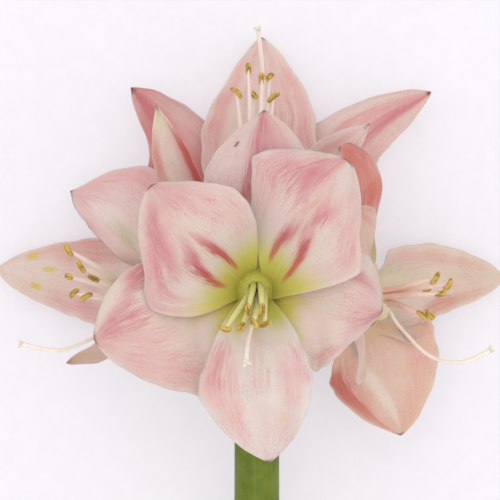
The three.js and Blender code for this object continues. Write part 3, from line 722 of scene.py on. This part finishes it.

# ---- Right flower's tepals ------------------------------------------------------------------------
# Its upper tepal has curled right over, painted salmon and coral for the light through it and the shade on
# its outer face, and the lowest one hangs broad below it.
right = Flower("right", (STRAW, LIME, 0.3), rgb(250, 252, 246), seed=23)
right.tepal(
    # Painted light: the salmon ground and coral band stand for light shining through this tepal and for the
    # shade on its outer face.
    "top", SALMON, (BEIGE, (0, 20), (0, 56), 140, 90), (CORAL, (20, 60), (10, 100), 110, 90),
    (SAGE, (90, 20), (95, 50), 40, 80), (BROWN, (95, 78), (90, 96), 8, 60),
    azimuth=0, mid=((62, 68, 10), (63, 101, 22), (50, 116, 36)), left=(10, 17, 20, 17),
    right=(7, 12, 20, 17), face=((0.8, 0.1, 0.5), (0.5, 0.5, 0.6)), cup=(0.25, -0.2), tip=0.6, ruffle=1.6,
)
right.tepal(
    "far", CREAM, (STRAW, (-10, 30), (0, 66), 40, 50), (PINK, (-70, 50), (-50, 90), 30, 40),
    (SALMON, (86, 50), (70, 90), 25, 70), (CREAM, (10, 60), (0, 100), 40, 90),
    (SAGE, (-50, 30), (-35, 62), 30, 45),
    azimuth=60, mid=((83, 37, -38), (112, 41, -56), (150, 40, -48)), left=(8, 20, 22, 20),
    right=(10.5, 33, 28, 22), face=((-0.3, 0, 1), (0.1, 0, 1)), cup=(0.12, 0.02), tip=0.75, ruffle=1.3,
)
right.tepal(
    # Painted light: the coral band at its tip carries on the salmon of the upper tepal's light and shade.
    "near", BEIGE, (STRAW, (0, 30), (0, 70), 90, 50), (CORAL, (-60, 74), (-60, 100), 60, 70),
    (SAGE, (-20, 40), (-20, 68), 50, 80), (PINK, (60, 60), (40, 98), 50, 50),
    (SAGE, (70, 30), (70, 80), 40, 50),
    azimuth=-60, mid=((66, 48, 34), (64, 64, 56), (52, 78, 70)), sides=(10.5, 21, 22, 18),
    face=((-0.9, 0, -0.3), (-0.5, 0, -0.9)), cup=(0.2, -0.1), tip=0.7, ruffle=1.4,
)
right.tepal(
    "bottom", BEIGE, (PINK, (-80, 50), (-60, 96), 30, 30), (WHITE, (34, 66), (0, 95), 20, 100),
    (RED, (90, 60), (74, 94), 20, 60), (SALMON, (60, 56), (56, 90), 24, 40),
    (OCHRE, (-40, 30), (-34, 56), 40, 40), (ROSE, (40, 42), (36, 62), 12, 50),
    azimuth=180, mid=((67, 4, -10), (76, -18, -8), (86, -52, 2)), left=(10.5, 36, 41, 32),
    right=(6.5, 20, 38, 26), face=((0.1, 0.2, 1), (0.1, 0, 1)), cup=(0.08, -0.05), tip=0.75, ruffle=1.5,
)
right.tepal(
    "lower_near", PALE, (STRAW, (0, 30), (0, 70), 40, 70), (SALMON, (60, 50), (50, 95), 50, 50),
    (PINK, (-60, 50), (-50, 95), 50, 50),
    azimuth=-120, mid=((62, 10, 38), (62, -6, 56), (58, -20, 68)), sides=(8, 15, 15, 12),
    face=((-0.7, 0.4, -0.5), (-0.8, 0.3, -0.5)), cup=(0.2, -0.1), tip=0.7, ruffle=1.2,
)
right.tepal(
    "lower_far", PALE, (PINK, (60, 50), (50, 95), 40, 60), (PINK, (-60, 50), (-50, 95), 50, 60),
    (LIME, (0, 20), (0, 60), 25, 50),
    azimuth=120, mid=((76, 14, -55.5), (92, 4, -67), (105, -12, -71)), left=(9.5, 16, 20, 15),
    right=(9.5, 17, 20, 15), face=((-0.3, 0.2, 1), (0, 0, 1)), cup=(0.15, 0.05), tip=0.7, ruffle=1.2,
)

# ---- Back flower's tepals -------------------------------------------------------------------------
# It opens along the stem. Its two outer wings end in dark points, and one inner tepal has stayed
# narrow, cream and twisted, with a torn brown margin.
back = Flower("back", (SAGE, LIME, 0.3), rgb(255, 255, 255), seed=33)
back.tepal(
    "bottom", CREAM, (PINK, (84, 50), (76, 92), 22, 70), (PINK, (-84, 50), (-74, 94), 24, 70),
    (BLUSH, (45, 60), (40, 95), 25, 50), (MAUVE, (0, 86), (0, 100), 90, 60),
    (CREAM, (2, 40), (2, 80), 14, 80), (ROSE, (62, 60), (56, 84), 5, 70),
    azimuth=180, mid=((1, 100, -40), (2, 142, -48), (3, 185, -50)), left=(10.5, 33, 35, 19),
    right=(10.5, 34, 38, 24), face=((0, 0.2, 1), (0, -0.05, 1)), cup=(0.1, 0.03), tip=0.7, ruffle=1.7,
)
back.tepal(
    "left", PINK, (ROSE, (-10, 55), (10, 100), 50, 90), (PALE, (86, 50), (70, 92), 36, 90),
    (SALMON, (30, 40), (42, 64), 40, 80), (MAUVE, (95, 60), (90, 90), 14, 70),
    (SALMON, (-70, 50), (-60, 86), 34, 60), (BROWN, (0, 97), (0, 100), 100, 70),
    azimuth=120, mid=((-36, 96, -48), (-56, 128, -50), (-75, 154, -30)), left=(12, 38, 15, 11),
    right=(12, 27, 26, 18), face=((0.25, 0.15, 1), (0.1, 0.1, 1)), cup=(0.1, 0.05), tip=0.7, ruffle=1.6,
)
back.tepal(
    "right", PALE, (PINK, (-20, 62), (10, 100), 70, 65), (ROSE, (30, 66), (20, 100), 35, 80),
    (BLUSH, (80, 50), (80, 80), 40, 80), (WHITE, (-80, 60), (-60, 90), 25, 70),
    (BROWN, (0, 98), (0, 100), 100, 60),
    azimuth=-120, mid=((37, 102, -48), (68, 134, -50), (104, 152, -30)), left=(12, 27, 17, 14),
    right=(12, 28, 24, 17), face=((-0.25, 0.15, 1), (-0.1, 0.1, 1)), cup=(0.1, 0.05), tip=0.75, ruffle=1.5,
)
back.tepal(
    # Painted shade: the RED band on its far side is the deep shadow in the pocket beside it, and the SALMON
    # band on its near side is a neighbouring tepal in shade.
    "upper_left", CREAM, (SALMON, (-95, 30), (-80, 86), 42, 90), (RED, (80, 25), (95, 86), 50, 100),
    (STRAW, (0, 86), (0, 100), 120, 90), (BROWN, (-46, 52), (-44, 59), 6, 80),
    (BROWN, (-30, 42), (-20, 49), 6, 70), (CORAL, (-30, 36), (-20, 50), 20, 60),
    azimuth=66, mid=((-38, 90, 0), (-51, 115, 14), (-59, 141, 20)), left=(9, 15, 13, 9), right=(5, 9, 12, 9),
    face=((0.5, -0.5, 0.6), (-0.6, 0, 0.8)), cup=(0.15, 0.1), tip=0.8, ruffle=0.8,
)
back.tepal(
    "upper_right", PALE, (SALMON, (50, 60), (40, 90), 50, 60), (PINK, (-60, 60), (-40, 95), 30, 60),
    azimuth=-68, mid=((28, 90, -3), (47, 112, 6), (66, 131, 8)), left=(4.5, 11, 17, 10),
    right=(9.5, 16, 13, 9), face=((-0.4, -0.4, 0.7), (-0.2, 0, 1)), cup=(0.1, 0.1), tip=0.8, ruffle=1.0,
)
back.tepal(
    "top", PALE, (PINK, (50, 50), (40, 95), 50, 60), (PINK, (-60, 50), (-40, 95), 40, 60),
    azimuth=0, mid=((-1, 79, 33), (-6, 101, 49), (-14, 114, 64)), sides=(5.5, 15, 23, 18),
    face=((0, 0.9, -0.5), (0, 0.6, -0.8)), cup=(0.15, -0.1), tip=0.7, ruffle=1.0,
)

# ---- Frills ---------------------------------------------------------------------------------------
# A low collar of soft yellow-green scales closes each throat between the tepals' claws and the
# filaments, and grows from the claws.
def frill_material():
    look = Look("throat_frill")
    along = look.measure("along")
    grain = look.grain(900.0, 2.0)
    colour = look.wash(rgb(178, 170, 46), rgb(206, 200, 96), along, 0.4, 1.0)
    colour = look.wash(colour, rgb(222, 218, 170), grain, 0.45, 0.6, 0.15)
    return look.finish(
        colour, grain, 0.0001, (0.2, 0.001), (rgb(214, 208, 96), 0.25), Roughness=0.5 + grain * 0.1,
        # Painted light: the collar glows faintly in its own colour, so it reads bright inside the throat.
        **{"Emission Color": colour, "Emission Strength": 0.1},
    )


def make_frills():
    material = frill_material()
    scales, rings, sides = 54, 8, 8
    ring, height, rise = 12.2, 13.0, 4.0
    for flower, mouth in MOUTHS.items():
        points, faces, along = [], [], []
        for scale in range(scales):
            out = mouth.around(360 * scale / scales + rng.uniform(-1.5, 1.5))
            reach = rng.uniform(7.6, 8.6)
            lean = rng.uniform(-0.25, 0.5)
            t = np.linspace(0, 1, rings)[:, None]
            path = mouth.at(out, ring, height) - out * reach * t
            path = path + mouth.axis * (rise + lean) * t * (1.4 - 0.6 * t)
            faces += ring_faces(rings, sides, scale * rings * sides)
            points.append(sweep(path, 1.3 - 0.6 * t**1.4, sides))
            along.append(np.repeat(t.ravel(), sides))
        points, along = np.concatenate(points), np.concatenate(along)
        piece(f"{flower}_throat_frill", None, "stamen", points, faces, material, along=along)


make_frills()

# ---- Stamens --------------------------------------------------------------------------------------
# Six in each flower: a smooth pale filament that carries a curved, two-lobed anther across its end,
# split open along its length and dusted with yellow pollen.
STAMENS = {
    "front": dict(
        anthers=((3, 23, 132), (4.5, 15, 138), (-2, 16, 143), (-9, 13, 134), (-18, 12, 136), (-5, 23, 128)),
        reach=(0, 32, 92), base=rgb(186, 188, 84), end=rgb(226, 222, 150),
    ),
    "left": dict(
        anthers=(
            (-105, 47, 12), (-97, 40, 18), (-102, 29, 12), (-110, 31, -9), (-113, 41, -2), (-113, 57, 2)
        ),
        reach=(-76, 31, -8), base=rgb(214, 196, 150), end=rgb(232, 214, 200),
    ),
    "right": dict(
        anthers=((115, 36, 0), (103, 33, -12), (104, 18, 4), (99, 18, 14), (110, 31, 12), (107, 40, 6)),
        reach=(78, 29, -8), base=rgb(218, 168, 142), end=rgb(234, 206, 190),
    ),
    "back": dict(
        anthers=((-5, 166, -8), (-12, 152, -14), (-2, 151, -22), (8, 162, -22), (10, 149, -12), (3, 160, -4)),
        reach=(0, 86, -26), base=rgb(214, 200, 150), end=rgb(236, 218, 208),
    ),
}
FILAMENT_RADIUS, ANTHER_LENGTH, ANTHER_RADIUS = 1.15, 9.0, 1.6
FILAMENT_TAPER = (1.5, 1.6, 1.35, 0.62)  # shares of the radius, from the throat to the anther
THROAT_RING = STAMEN_RING * 1.1


def stamen_material(flower, base, end):
    look = Look(f"{flower}_stamen")
    along, pollen, groove = look.measure("along"), look.measure("pollen"), look.measure("groove")
    grains = look.grain(2600.0, 2.0)
    tint = look.grain(260.0, 3.0)
    filament = look.wash(base, end, along, 0.15, 0.8)
    filament = look.wash(filament, WHITE, tint, 0.45, 0.7, 0.3)
    dust = look.wash(rgb(176, 138, 50), rgb(228, 198, 104), grains, 0.38, 0.6)
    # Painted shade: the pollen is darkened in the anther's groove.
    dust = look.wash(dust, rgb(96, 72, 30), groove, 0.3, 0.9, 0.85)
    dust = look.wash(dust, rgb(140, 104, 44), tint, 0.46, 0.62, 0.7)
    colour = look.mix(filament, dust, pollen)
    height = grains * pollen + tint * 0.3
    return look.finish(colour, height, 0.0005, (0.15, 0.0015), Roughness=0.42 + pollen * 0.4)


def anther(centre, across, up):
    """A curved bean with a groove along its upper side. Its rings run along `across`."""
    rings, sides = 26, 22
    t = np.linspace(-1, 1, rings)[:, None]
    side = unit(np.cross(across, up))
    bend, twist = 1.1, 0.5
    path = centre + across * t * ANTHER_LENGTH / 2 - up * bend * (t**2 - 0.3) + side * twist * t**3
    radius = ANTHER_RADIUS * np.sqrt(np.maximum(0.02, 1 - np.abs(t) ** 3.2))
    bump = rng.uniform(-0.07, 0.07, (rings, sides))
    points = sweep(path, radius, sides)
    spoke = points - np.repeat(path, sides, axis=0)
    facing = np.clip((unit(spoke) @ up), -1, 1)
    sidewise = np.abs(unit(spoke) @ side)
    groove = np.exp(-((sidewise / 0.3) ** 2)) * (np.abs(facing) > 0.5)
    ends = np.repeat(1 - np.abs(t.ravel()) ** 4, sides)
    squash = 1 - 0.42 * groove * ends + 0.1 * sidewise + bump.ravel()
    return np.repeat(path, sides, axis=0) + spoke * squash[:, None], ring_faces(rings, sides), groove * ends


def make_stamens():
    rings, sides = 44, 12
    for flower, plan in STAMENS.items():
        mouth = MOUTHS[flower]
        material = stamen_material(flower, plan["base"], plan["end"])
        for i, end in enumerate(plan["anthers"]):
            out = mouth.around(30 + 60 * i)
            end = np.array(end, float)
            throat = np.array(plan["reach"], float) + out * THROAT_RING
            stations = (mouth.at(out, STAMEN_RING, RIM_GAP), throat, end + (throat - end) * 0.4, end)
            t = np.linspace(0, 1, rings)
            radius = spline(FILAMENT_TAPER, t)[:, None] * FILAMENT_RADIUS
            path = spline(stations, t)
            points = sweep(path, radius, sides)
            faces = ring_faces(rings, sides)
            across = unit(mouth.around(70 * i) + 0.8 * mouth.axis)
            up = unit(path[-1] - path[-3])
            up = unit(up - across * up.dot(across))
            more, more_faces, groove = anther(end, across, up)
            faces += [tuple(len(points) + k for k in f) for f in more_faces]
            along = np.concatenate((np.repeat(t, sides), np.ones(len(more))))
            pollen = np.concatenate((np.zeros(len(points)), np.ones(len(more))))
            groove = np.concatenate((np.zeros(len(points)), groove))
            points = np.concatenate((points, more))
            node = f"{flower}_stamen_{i + 1}"
            name = f"{flower}_filament_and_anther_{i + 1}"
            piece(name, node, "stamen", points, faces, material, along=along, pollen=pollen, groove=groove)


make_stamens()

# ---- Styles ---------------------------------------------------------------------------------------
# One long ivory style in each flower curves out past the anthers and ends in three short, pale and
# velvety stigma lobes.
STYLES = {
    "front": ((0, 30, 90), (-2, 18, 112), (-5, 5, 134), (-6, -6, 150)),
    "left": ((-72, 28, -8), (-86, 13, -7), (-101, 3, 3), (-119, -3, 13), (-140, 1, 16)),
    "right": ((74, 26, -8), (86, 11, -6), (103, -6, 7), (122, -10, 16), (139, -3, 16)),
    "back": ((0, 86, -28), (3, 120, -36), (4, 160, -34), (1, 190, -20)),
}
STYLE_RADIUS = 1.2


def style_material():
    look = Look("ivory_style")
    along = look.measure("along")
    grain = look.grain(300.0, 3.0)
    velvet = look.grain(2200.0, 2.0)
    colour = look.wash(rgb(214, 210, 140), rgb(236, 226, 212), along, 0.05, 0.4)
    colour = look.wash(colour, rgb(232, 208, 198), grain, 0.45, 0.65, 0.5)
    tip = look.step(along, 0.96, 1.0)
    colour = look.mix(colour, rgb(222, 216, 190), tip)
    height = velvet * tip + grain * 0.3
    return look.finish(colour, height, 0.0004, (0.25, 0.002), Roughness=0.4 + tip * 0.3)


def make_styles():
    material = style_material()
    rings, lobe_rings, sides = 80, 14, 14
    for flower, plan in STYLES.items():
        mouth = MOUTHS[flower]
        stations = [mouth.at(mouth.axis, 0, RIM_GAP), *[np.array(p, float) for p in plan]]
        t = np.linspace(0, 1, rings)
        radius = STYLE_RADIUS * (0.92 + 0.3 * t**6)[:, None]
        path = spline(stations, t)
        points, along = [sweep(path, radius, sides)], [np.repeat(t * 0.95, sides)]
        faces = ring_faces(rings, sides)
        tip, ahead = path[-1], unit(path[-1] - path[-4])
        side = unit(np.cross(np.array((0, 0, 1.0)), ahead))
        up = np.cross(ahead, side)
        for lobe in range(3):
            a = 2 * math.pi * lobe / 3
            out = side * math.cos(a) + up * math.sin(a)
            s = np.linspace(0, 1, lobe_rings)[:, None]
            curve = tip + ahead * STYLE_RADIUS * (3.2 * s - 1 - 0.6 * s**2)
            curve = curve + out * STYLE_RADIUS * 2.3 * s**1.6
            faces += ring_faces(lobe_rings, sides, sum(len(p) for p in points))
            points.append(sweep(curve, STYLE_RADIUS * (0.85 - 0.45 * s**3), sides))
            along.append(np.full(lobe_rings * sides, 1.0))
        node = f"{flower}_style"
        points, along = np.concatenate(points), np.concatenate(along)
        piece(f"{flower}_style_and_stigma", node, "style", points, faces, material, along=along)


make_styles()

# ---- Floor, light and camera ----------------------------------------------------------------------
# A plain pale floor under soft, even light, seen from straight above, where the front flower faces.
def make_floor():
    half, drop = 6.0, 0.0005  # metres
    mesh = bpy.data.meshes.new("pale_floor")
    corners = [(-half, -half, 0), (half, -half, 0), (half, half, 0), (-half, half, 0)]
    mesh.from_pydata(corners, [], [(0, 1, 2, 3)])
    look = Look("pale_floor")
    speckle = look.grain(90.0, 2.0)
    colour = look.wash(rgb(179, 179, 179), rgb(181, 181, 181), speckle, 0.4, 0.6)
    glow = {"Emission Color": rgb(247, 240, 250), "Emission Strength": 0.43}
    rough = 0.8 + speckle * 0.1
    mesh.materials.append(look.finish(colour, speckle, 0.00001, Roughness=rough, **glow))
    floor = put("pale_floor", mesh)
    floor.location.z = -drop


def make_light():
    world = bpy.data.worlds.new("soft_room")
    world.use_nodes = True
    background = world.node_tree.nodes["Background"]
    background.inputs["Color"].default_value = (0.97, 0.97, 1.0, 1.0)
    background.inputs["Strength"].default_value = 0.98
    bpy.context.scene.world = world
    lamps = (("key", (-0.2, 0.3, 3.0), 2.2, 26.0), ("fill", (1.0, -0.6, 2.6), 2.0, 6.0))
    for name, place, size, power in lamps:
        data = bpy.data.lights.new(name, "AREA")
        data.size = size
        data.energy = power
        lamp = put(name, data)
        lamp.location = place
        lamp.rotation_euler = (-lamp.location).to_track_quat("-Z", "Y").to_euler()


def make_camera():
    distance, across = 2500.0, 300.0
    aim_x, aim_y = -4.0, 57.0
    data = bpy.data.cameras.new("camera")
    data.sensor_width = 36.0
    data.lens = 36.0 * distance / across
    data.clip_end = 20.0
    camera = put("camera", data)
    camera.location = (HEAD + np.array((aim_x, aim_y, distance))) * MM
    bpy.context.scene.camera = camera


make_floor()
make_light()
make_camera()
bpy.context.scene.view_settings.view_transform = "Standard"
